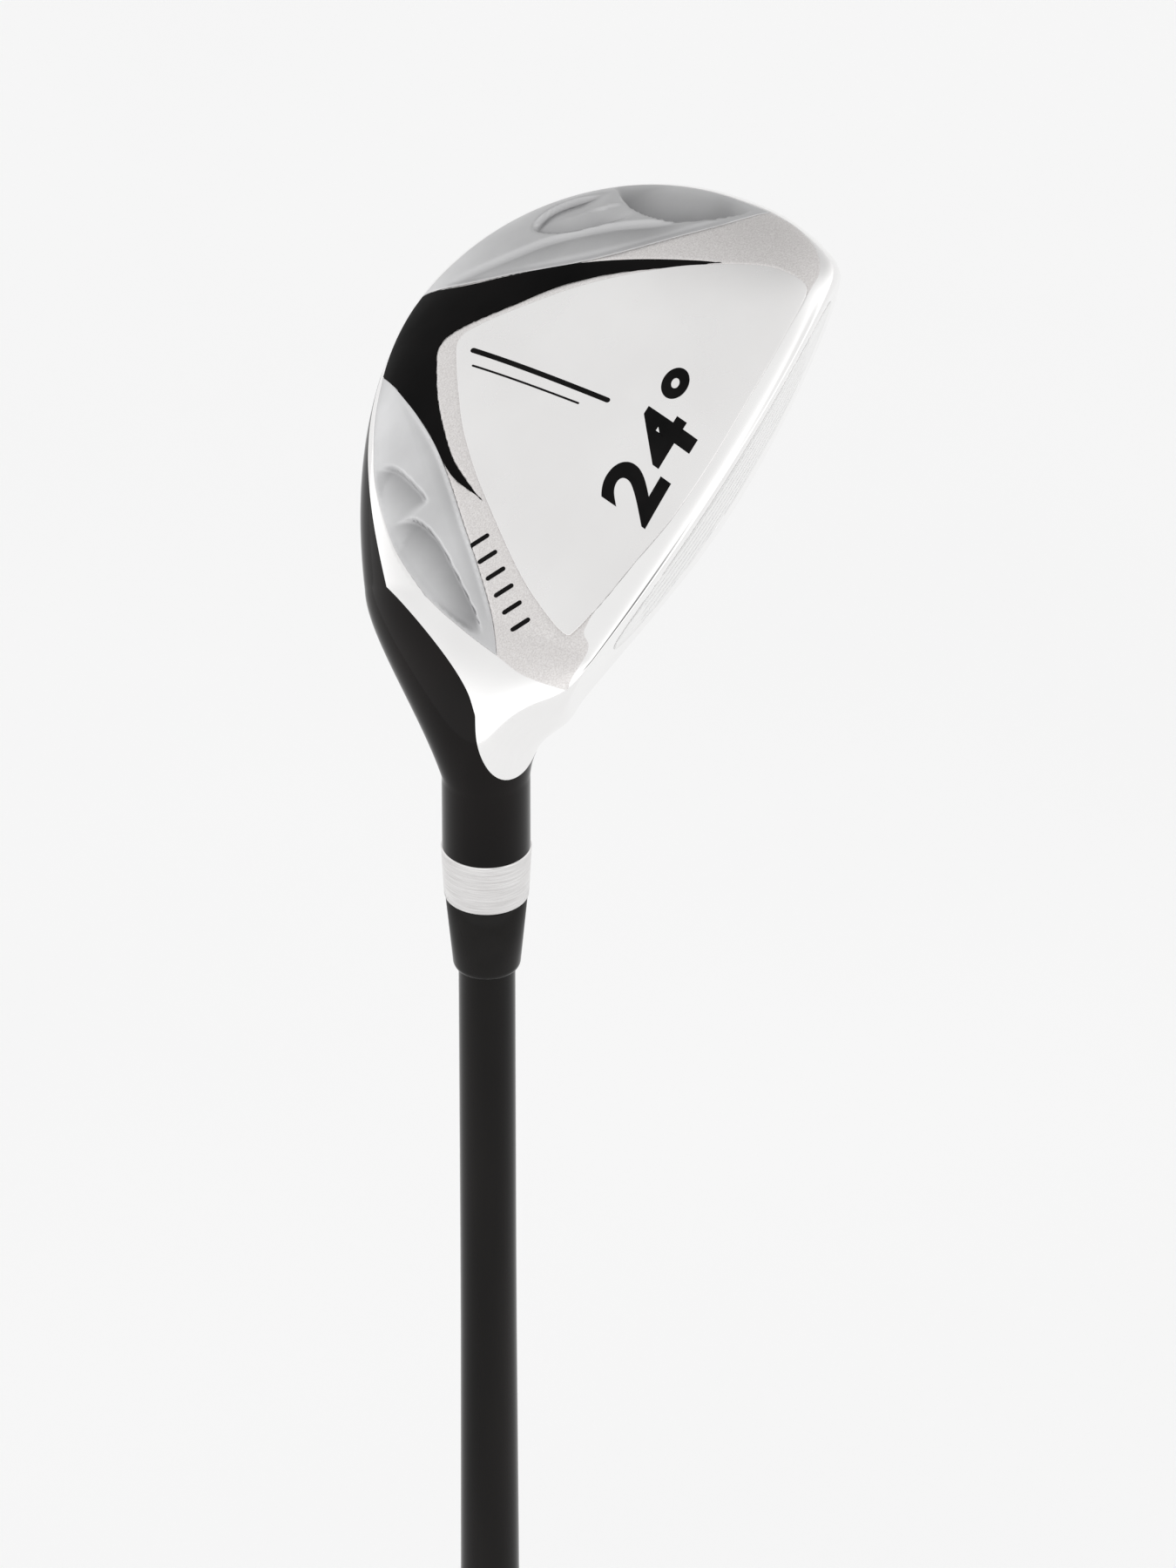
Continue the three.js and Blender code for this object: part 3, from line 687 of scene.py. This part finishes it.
def rows_of_u():
    """Rows along the bare steel: close together at the toe, where the sections shrink, and at the tip."""
    toe = np.linspace(0.006, 0.2, 34)
    body = np.linspace(0.2, 1.0, 150)[1:]
    neck = np.linspace(1.0, TIP_U - 0.09, 80)[1:]
    tip = TIP_U - 0.09 * (1 - np.linspace(0, 1, 26)[1:]) ** 2
    return toe, body, neck, tip


bare_rows = np.concatenate(rows_of_u())
BARE_ACROSS = 330
start, end = edge_angles(bare_rows)
t = np.linspace(0, 1, BARE_ACROSS)
bare_a = start[:, None] + (end - start)[:, None] * t
bare_u = np.repeat(bare_rows[:, None], BARE_ACROSS, 1)
bare_skin = surface(bare_u, bare_a)
bare_normal = normals_at(bare_u, bare_a)
flat = bare_skin.reshape(-1, 3)
plan_of_bare = flat[:, :2]
UNDER = dict(top_z=14.5, facing=-0.4)
facing_down = bare_normal.reshape(-1, 3)[:, 2] < UNDER["facing"]
under_side = (flat[:, 2] < UNDER["top_z"]) & (np.sin(bare_a.ravel()) > 0) & facing_down


def plan_distance(outline):
    """Distance inside an outline for the casting's points on the sole side; well outside elsewhere."""
    values = np.full(len(flat), -20.0)
    low, high = outline.min(0) - 3, outline.max(0) + 3
    near = under_side & np.all((plan_of_bare > low) & (plan_of_bare < high), axis=1)
    values[near] = signed_distance(plan_of_bare[near], outline)
    return values


in_relief = np.maximum(plan_distance(toe_outline), plan_distance(heel_outline))
in_flat = np.maximum(plan_distance(inlay_outline), plan_distance(panel_outline))
in_satin = plan_distance(satin_outline)
# The casting is let in under the set-in pieces, by these depths over these widths from their edges.
RELIEF_BED, FLAT_BED = dict(depth=3.2, width=1.1), dict(depth=0.7, width=0.6)
sink = np.maximum(
    RELIEF_BED["depth"] * ease(in_relief / RELIEF_BED["width"]),
    FLAT_BED["depth"] * ease(in_flat / FLAT_BED["width"]),
)
bare_points = flat - bare_normal.reshape(-1, 3) * sink[:, None]
new_object(
    "bare_casting", to_row(bare_points), grid_faces(len(bare_rows), BARE_ACROSS), FINISH["casting"],
    ("sole_plate",), attributes={"satin": in_satin},
)

SEAM = 0.02
PAINT_ACROSS = 260
past_tip = TIP_U + 0.1 * np.linspace(0, 1, 12)[1:] ** 2
painted_rows = np.concatenate([bare_rows, past_tip, np.linspace(1.99, 3.0, 30)])
start, end = edge_angles(painted_rows)
painted_a = end[:, None] + (2 * math.pi + start - end)[:, None] * np.linspace(0, 1, PAINT_ACROSS)
painted_u = np.repeat(painted_rows[:, None], PAINT_ACROSS, 1)
painted_skin = surface(painted_u, painted_a) + normals_at(painted_u, painted_a) * SEAM
new_object(
    "painted_body", to_row(painted_skin.reshape(-1, 3)), grid_faces(len(painted_rows), PAINT_ACROSS),
    FINISH["paint"], ("head_body",),
)

# ---- Pieces set into the sole ------------------------------------------------------------------------


def scoop(plan, points, side, width, depth, sharp=0.5, fade=0.2):
    """A scoop that drops sharply at a curved crease and rises slowly on one side of it."""
    distance, on, along = line_distance(plan, smooth_line(points, 0.8))
    signed = distance * on * side
    fall = ease(signed / sharp)
    rise = (1 - clamp01(signed / width)) ** 1.5
    ends = ease(along / fade) * ease((1 - along) / fade)
    return -depth * fall * rise * ends


def bank(plan, points, side, width, depth, fade=0.12):
    """A bank that falls away from a crease towards one side."""
    distance, on, along = line_distance(plan, smooth_line(points, 0.8))
    slope = clamp01(distance * on * side / width)
    return -depth * slope * ease(along / fade) * ease((1 - along) / fade)


TOE_LENS = [(83.8, -30.4), (79.8, -23.6), (78.9, -17.3), (81.0, -11.1), (84.8, -6.6), (88.0, -4.5)]
TOE_SCALLOP = [(82.5, -28.6), (78.2, -34.6), (74.0, -37.0), (69.9, -35.9), (70.6, -30.2), (74.6, -24.6),
               (78.2, -20.0)]
TOE_STREAK = [(54.6, -47.0), (59.8, -41.5), (64.4, -36.6), (69.3, -31.5), (75.0, -23.5), (78.9, -16.4),
              (82.5, -10.5)]
TOE_BANK = [(53.9, -45.4), (59.3, -37.4), (65.0, -28.4), (70.6, -20.6), (77.3, -13.5), (86.5, -5.3)]
HEEL_CREST = [(22.6, -37.6), (23.0, -33.6), (21.2, -28.4), (18.8, -23.2)]
HEEL_LENS = [(13.2, -29.4), (15.6, -25.4), (13.9, -19.5), (10.0, -13.6), (4.8, -6.5), (1.2, -2.2)]
HEEL_RIDGE = [(35.9, -42.4), (30.3, -34.9), (23.1, -26.9), (17.4, -20.6), (11.2, -13.9), (4.9, -6.7),
              (0.6, -1.2)]
HEEL_BANK = [(33.6, -45.2), (26.6, -39.9), (18.6, -33.6), (12.9, -27.6), (8.4, -20.6), (4.2, -12.0),
             (0.8, -3.4)]


def limited(height, deepest=1.7):
    """Eases relief towards its greatest depth."""
    return -deepest * np.tanh(-height / deepest)


def flush_at(outline, plan, margin=1.2):
    """Brings relief back to the sole's surface at a piece's edge."""
    return ease(line_distance(plan, outline, closed=True)[0] / margin)


def toe_relief(plan):
    """Two overlapping scoops towards the toe, a long streak below them and a bank inside."""
    height = scoop(plan, TOE_LENS, -1, 9.0, 1.9)
    height += scoop(plan, TOE_SCALLOP, -1, 6.5, 1.3, sharp=0.7)
    height += scoop(plan, TOE_STREAK, 1, 8.0, 0.8, sharp=1.2)
    height += bank(plan, TOE_BANK, 1, 6.0, 1.0)
    return limited(height) * flush_at(toe_outline, plan)


def heel_relief(plan):
    """A crest and a long lens-shaped scoop, between a bank at the rim and one on the inner side."""
    height = scoop(plan, HEEL_CREST, 1, 7.0, 1.3, sharp=0.7)
    height += scoop(plan, HEEL_LENS, 1, 7.0, 1.6)
    height += bank(plan, HEEL_BANK, 1, 3.0, 0.7)
    height += bank(plan, HEEL_RIDGE, -1, 4.5, 1.0)
    return limited(height) * flush_at(heel_outline, plan)


sole_piece(
    "toe_side_relief", toe_outline, FINISH["insert"], ("toe_side_insert",),
    relief=toe_relief,
)
sole_piece(
    "heel_side_relief", heel_outline, FINISH["insert"], ("heel_side_insert",),
    relief=heel_relief,
)
sole_piece(
    "boomerang_inlay", inlay_outline, FINISH["inlay"], ("rear_inlay",), spacing=0.8
)
sole_piece(
    "polished_panel", panel_outline, FINISH["panel"], ("centre_badge",), spacing=0.9
)

# ---- Face with its score lines -----------------------------------------------------------------------
SCORE = dict(count=8, pitch=3.1, width=0.9, edge=0.3, depth=0.22, half=26.0, first_up=7.5, mid_x=44.0)
FACE_PROUD = 0.06
FACE_WALL = 0.25
FACE_EDGE = [(13, 9.6), (28, 6.2), (44, 5.2), (60, 6.2), (73, 9.6), (79.5, 14.5), (79.5, 20.5),
             (73, 26.0), (62, 28.6), (44, 27.6), (28, 23.6), (15, 18.4), (10.4, 14)]


def face_skin(across):
    """Points of the lofted face from places across it and up its slope."""
    x, slope = across[:, 0], across[:, 1]
    bulge = (x - HEAD["mid_x"]) ** 2 / (2 * FACE["bulge"])
    z = slope * math.cos(LOFT)
    return np.stack([x, FACE["y"] - z * math.tan(LOFT) - bulge, z], -1)


def face_plate():
    """The face's skin with its score lines cut in, and a short wall round its edge."""
    outline = shrunk(smooth_line(FACE_EDGE, 0.6, closed=True), 0.05)
    xs = np.arange(8, 82, 1.5)
    lines = SCORE["first_up"] + SCORE["pitch"] * np.arange(SCORE["count"])
    across_line = [lines + d for d in (-0.02, 0.12, 0.45, 0.78, 0.92)]
    rows = np.sort(np.concatenate(across_line + [np.arange(4, 31, 1.55)]))
    gx, gy = np.meshgrid(xs, rows)
    fill = np.stack([gx.ravel(), gy.ravel()], -1)
    line_ends = [SCORE["mid_x"] + s * (SCORE["half"] + d) for s in (-1, 1) for d in (-0.15, 0.0, 0.15)]
    ends = np.array([(x, v) for x in line_ends for v in rows])
    fill = np.vstack([fill, ends])
    fill = fill[inside(fill, outline)]
    fill = fill[line_distance(fill, outline, closed=True)[0] > 0.4]
    count = len(outline)
    corners = [Vector(p) for p in np.vstack([outline, fill])]
    edges = [(i, (i + 1) % count) for i in range(count)]
    verts, _, faces, _, _, _ = delaunay_2d_cdt(corners, edges, [], 1, 1e-5)
    across = np.array([tuple(v) for v in verts])
    up = across[:, 1]
    in_line = np.zeros(len(across))
    for low in lines:
        from_middle = np.abs(up - low - SCORE["width"] / 2)
        in_line = np.maximum(in_line, ease((SCORE["width"] / 2 - from_middle) / SCORE["edge"]))
    in_line *= ease((SCORE["half"] - np.abs(across[:, 0] - SCORE["mid_x"])) / SCORE["edge"])
    out = np.array([0, math.cos(LOFT), math.sin(LOFT)])
    points = face_skin(across) + out * (FACE_PROUD - SCORE["depth"] * in_line)[:, None]
    wall = face_skin(outline) - out * FACE_WALL
    order = nearest_order(across, outline)
    first = len(points)
    facing = facing_out([tuple(f) for f in faces], points, np.broadcast_to(out, points.shape))
    for i in range(count):
        j = (i + 1) % count
        facing.append((order[i], first + i, first + j, order[j]))
    return np.vstack([points, wall]), facing


points, faces = face_plate()
new_object("scored_face", to_row(points), faces, FINISH["face"], ("face_plate",))

# ---- Marks: plain paint fills that sit on the sole -------------------------------------------------


def painted_patch(name, outline, lift, spacing=0.8):
    """A thin film of paint with a closed plan outline, on the sole or the panel."""
    plan, faces = plan_mesh(densified(outline, spacing), spacing)
    u, a = on_sole(plan)
    n = normals_at(u, a)
    points = surface(u, a) + n * lift
    return new_object(name, to_row(points), facing_out(faces, points, n), FINISH["fill"])


def densified(outline, spacing):
    """A closed outline with its long straight sides broken up."""
    out = []
    for first, last in zip(outline, np.roll(outline, -1, axis=0)):
        steps = max(1, int(np.hypot(*(last - first)) / spacing))
        out.extend(first + (last - first) * i / steps for i in range(steps))
    return np.array(out)


def bar(centre, direction, length, width):
    """A bar's outline in plan, with rounded ends."""
    along = np.array(direction, float) / np.hypot(*direction)
    across = np.array([-along[1], along[0]])
    turn = np.linspace(-math.pi / 2, math.pi / 2, 7)
    cap = np.stack([np.cos(turn), np.sin(turn)], -1) * width / 2
    tip = [along * (length / 2 - width / 2 + c) + across * s for c, s in cap]
    tail = [along * (-length / 2 + width / 2 - c) - across * s for c, s in cap]
    return np.array(tip + tail) + np.array(centre, float)


FILM = 0.035
FIGURE = dict(cap=0.72, weight=0.42, spacing=1.12, slant=0.18, width=1.22, facet=1.2)


def loft_number(text, start, height, lift):
    """The loft in plain figures, reading from heel to toe with their feet towards the leading edge."""
    curve = bpy.data.curves.new("loft_number", "FONT")
    curve.body = text
    curve.size = height / FIGURE["cap"]
    curve.offset = FIGURE["weight"]
    curve.space_character = FIGURE["spacing"]
    curve.shear = FIGURE["slant"]
    letter = bpy.data.objects.new("loft_number_outline", curve)
    bpy.context.scene.collection.objects.link(letter)
    bpy.context.view_layer.update()
    graph = bpy.context.evaluated_depsgraph_get()
    flat_mesh = bpy.data.meshes.new_from_object(letter.evaluated_get(graph))
    bpy.data.objects.remove(letter)
    work = bmesh.new()
    work.from_mesh(flat_mesh)
    bmesh.ops.triangulate(work, faces=work.faces)
    for _ in range(3):
        long_edges = [e for e in work.edges if e.calc_length() > FIGURE["facet"]]
        bmesh.ops.subdivide_edges(work, edges=long_edges, cuts=1)
        bmesh.ops.triangulate(work, faces=work.faces)
    glyph = np.array([tuple(v.co) for v in work.verts])
    work.verts.index_update()
    faces = [tuple(v.index for v in f.verts) for f in work.faces]
    work.free()
    plan = np.stack([start[0] + glyph[:, 0] * FIGURE["width"], start[1] - glyph[:, 1]], -1)
    u, a = on_sole(plan)
    n = normals_at(u, a)
    points = surface(u, a) + n * lift
    return new_object("loft_number", to_row(points), facing_out(faces, points, n), FINISH["fill"])


loft_number("24\u00b0", (26.6, 13.4), 10.2, PIECE_PROUD + 0.05)
STRIPE = [((45.2, -31.5), (44.4, -3.4), 0.9), ((42.6, -29.6), (42.2, -8.0), 0.35)]
for number, (first, last, width) in enumerate(STRIPE):
    first, last = np.array(first), np.array(last)
    outline = bar((first + last) / 2, last - first, np.hypot(*(last - first)), width)
    painted_patch(f"panel_stripe_{number + 1}", outline, PIECE_PROUD + FILM)
TICK_START, TICK_END, TICKS = np.array((15.4, -11.6)), np.array((5.2, 2.0)), 6
for number in range(TICKS):
    run = TICK_END - TICK_START
    centre = TICK_START + run * number / (TICKS - 1)
    painted_patch(f"heel_tick_{number + 1}", bar(centre, (run[1], -run[0]), 3.6, 0.8), FILM)

# ---- Ferrule, shaft and grip -------------------------------------------------------------------------
hosel_top = CLUB_LENGTH - HOSEL["top"]
RING = dict(length=9.2, top_r=7.2, end_r=6.75, edge=0.25)
COLLAR = dict(length=13.3, top_r=6.55, end_r=5.45, lip=1.2, lip_in=0.5)
SHAFT = dict(
    tip_r=4.525, butt_r=7.6, parallel_tip=110, parallel_butt=230, butt_z=5.6, inset=23, wall_r=3.0
)
GRIP = dict(length=267, butt_r=13.5, mouth_r=8.9, start=5.3)
CAP = dict(flange=5.0, r=13.9, edge=1.2)


def shaft_r(z):
    taper_top = hosel_top + SHAFT["inset"] - SHAFT["parallel_tip"]
    taper = clamp01((z - SHAFT["parallel_butt"]) / (taper_top - SHAFT["parallel_butt"]))
    return mix(SHAFT["butt_r"], SHAFT["tip_r"], taper)


FERRULE_GAP = 0.05
FERRULE_BORE = 4.6
ring_top = hosel_top - FERRULE_GAP
ring_end = ring_top - RING["length"]
e = RING["edge"]
turned(
    "brushed_ring",
    [(FERRULE_BORE, ring_end), (RING["end_r"] - e, ring_end),
     (RING["end_r"] - 0.3 * e, ring_end + 0.3 * e), (RING["end_r"], ring_end + e),
     (RING["top_r"], ring_top - e), (RING["top_r"] - 0.3 * e, ring_top - 0.3 * e),
     (RING["top_r"] - e, ring_top), (FERRULE_BORE, ring_top), (FERRULE_BORE, ring_end)],
    FINISH["ring"], ("ferrule_ring",),
)
collar_top = ring_end - FERRULE_GAP
collar_end = collar_top - COLLAR["length"]
lip_z = collar_end + COLLAR["lip"]
lip = [
    (COLLAR["end_r"] - COLLAR["lip_in"] * (1 - math.sqrt(max(0, 1 - f * f))), lip_z - COLLAR["lip"] * f)
    for f in np.linspace(1, 0, 10)
]
turned(
    "tapered_collar",
    [(FERRULE_BORE, collar_end), *lip, (COLLAR["top_r"] - 0.02, collar_top - 0.25),
     (COLLAR["top_r"] - 0.25, collar_top), (FERRULE_BORE, collar_top), (FERRULE_BORE, collar_end)],
    FINISH["collar"], ("ferrule_collar",),
)
shaft_tip = hosel_top + SHAFT["inset"]
heights = np.linspace(SHAFT["butt_z"], shaft_tip, 60)
turned(
    "graphite_shaft",
    [(SHAFT["wall_r"], heights[0])] + [(float(shaft_r(z)), z) for z in heights]
    + [(SHAFT["wall_r"], shaft_tip), (SHAFT["wall_r"], heights[0])],
    FINISH["graphite"], ("shaft",), segments=96,
)


def grip_mesh():
    """The grip, with rings of shallow slanted tread cut into it."""
    rows, around = 420, 160
    z = np.linspace(GRIP["start"], GRIP["start"] + GRIP["length"], rows)
    angle = np.linspace(0, 2 * math.pi, around, endpoint=False)
    zz, aa = np.meshgrid(z, angle, indexing="ij")
    f = (zz - GRIP["start"]) / GRIP["length"]
    r = mix(GRIP["butt_r"], GRIP["mouth_r"], f) - 0.15
    tread = np.maximum(0, np.sin(aa * 10 + zz * 0.55)) * np.maximum(0, np.sin(aa * 10 - zz * 0.55))
    plain = ease((f - 0.02) / 0.03) * ease((0.97 - f) / 0.03)
    r = r - 0.35 * ease(tread * 2.2) * plain
    r = r - 1.2 * ease((f - 0.985) / 0.015) ** 2
    points = np.stack([r * np.cos(aa), r * np.sin(aa), zz], -1).reshape(-1, 3)
    inner = np.stack([8.2 * np.cos(angle), 8.2 * np.sin(angle), np.full(around, z[-1])], -1)
    points = np.vstack([points, inner]) * MM
    return points, grid_faces(rows + 1, around, closed=True)


points, faces = grip_mesh()
new_object("treaded_grip", points, faces, FINISH["rubber"], ("grip",))
c = CAP["edge"]
turned(
    "butt_cap",
    [(0.01, 0.35), (1.2, 0.35), (1.6, 0.0), (CAP["r"] - c, 0.0), (CAP["r"] - 0.62 * c, 0.08 * c),
     (CAP["r"] - 0.3 * c, 0.3 * c), (CAP["r"] - 0.08 * c, 0.62 * c), (CAP["r"], c),
     (CAP["r"], CAP["flange"] - c), (CAP["r"] - 0.15, CAP["flange"] - 0.3 * c),
     (GRIP["butt_r"] - 0.3, CAP["flange"]), (0.01, CAP["flange"])],
    FINISH["rubber"], ("grip_cap",), segments=160,
)

for node, finish in (("hosel_epoxy", "epoxy"), ("tip_weight", "brass"), ("grip_tape", "tape")):
    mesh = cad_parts[node].data
    mesh.materials.clear()
    mesh.materials.append(FINISH[finish])

# ---- Stage, light and camera -------------------------------------------------------------------------
scene = bpy.context.scene
scene.view_settings.view_transform = "Standard"
scene.view_settings.look = "None"

bpy.ops.mesh.primitive_plane_add(size=30, location=(0, 0, 0))
floor = bpy.context.object
floor.name = "floor"
floor.data.materials.append(
    surface_finish(
        "pale_floor", (0.95, 0.95, 0.95), (0.97, 0.97, 0.97), (0.6, 0.7), 0.0,
        wear_scale=2, specular=0.1,
    )
)

world = bpy.data.worlds.new("studio")
scene.world = world
world.use_nodes = True
wt = world.node_tree
background = wt.nodes["Background"]
background.inputs["Color"].default_value = (1, 1, 1, 1)
direction = wt.nodes.new("ShaderNodeTexCoord").outputs["Generated"]


def lobe(towards, inner, outer, at_centre, beyond):
    """A value that changes with the angle, in degrees, from one direction of the studio."""
    dot = wt.nodes.new("ShaderNodeVectorMath")
    dot.operation = "DOT_PRODUCT"
    wt.links.new(direction, dot.inputs[0])
    dot.inputs[1].default_value = Vector(towards).normalized()
    spread = wt.nodes.new("ShaderNodeMapRange")
    spread.interpolation_type = "SMOOTHSTEP"
    spread.inputs["From Min"].default_value = math.cos(math.radians(outer))
    spread.inputs["From Max"].default_value = math.cos(math.radians(inner))
    spread.inputs["To Min"].default_value = beyond
    spread.inputs["To Max"].default_value = at_centre
    wt.links.new(dot.outputs["Value"], spread.inputs["Value"])
    return spread.outputs["Result"]


def product(first, second):
    node = wt.nodes.new("ShaderNodeMath")
    node.operation = "MULTIPLY"
    wt.links.new(first, node.inputs[0])
    wt.links.new(second, node.inputs[1])
    return node.outputs[0]


# A soft overhead tone for the sole, a black card beside the camera and two grey cards past the toe.
overhead = lobe((-0.1, 0.45, 0.88), 22, 62, 0.9, 1.26)
cards = (
    lobe((-0.4, -0.78, 0.48), 7, 21, 0.16, 1.0),
    lobe((0.45, -0.68, 0.58), 8, 30, 0.72, 1.0),
    lobe((0.78, 0.5, 0.38), 12, 48, 0.5, 1.0),
)
studio = overhead
for card in cards:
    studio = product(studio, card)
wt.links.new(studio, background.inputs["Strength"])

AZIMUTH, ELEVATION, LENS, VIEW_HEIGHT = -54.6, 33.0, 300.0, 245.0
az, el = math.radians(AZIMUTH), math.radians(ELEVATION)
away = Vector((math.sin(az) * math.cos(el), -math.cos(az) * math.cos(el), math.sin(el)))
right = Vector((math.cos(az), math.sin(az), 0))
up = away.cross(right)
aim = Vector((0, 0, CLUB_LENGTH)) + right * 16.05 - up * 23.5
distance = VIEW_HEIGHT * LENS / 36.0
camera_data = bpy.data.cameras.new("camera")
camera = bpy.data.objects.new("camera", camera_data)
scene.collection.objects.link(camera)
camera_data.lens = LENS
camera_data.sensor_width = 36.0
camera_data.clip_end = 60
camera.matrix_world = Matrix.Translation((aim + away * distance) * MM) @ Matrix(
    (right, up, away)
).transposed().to_4x4()
scene.camera = camera
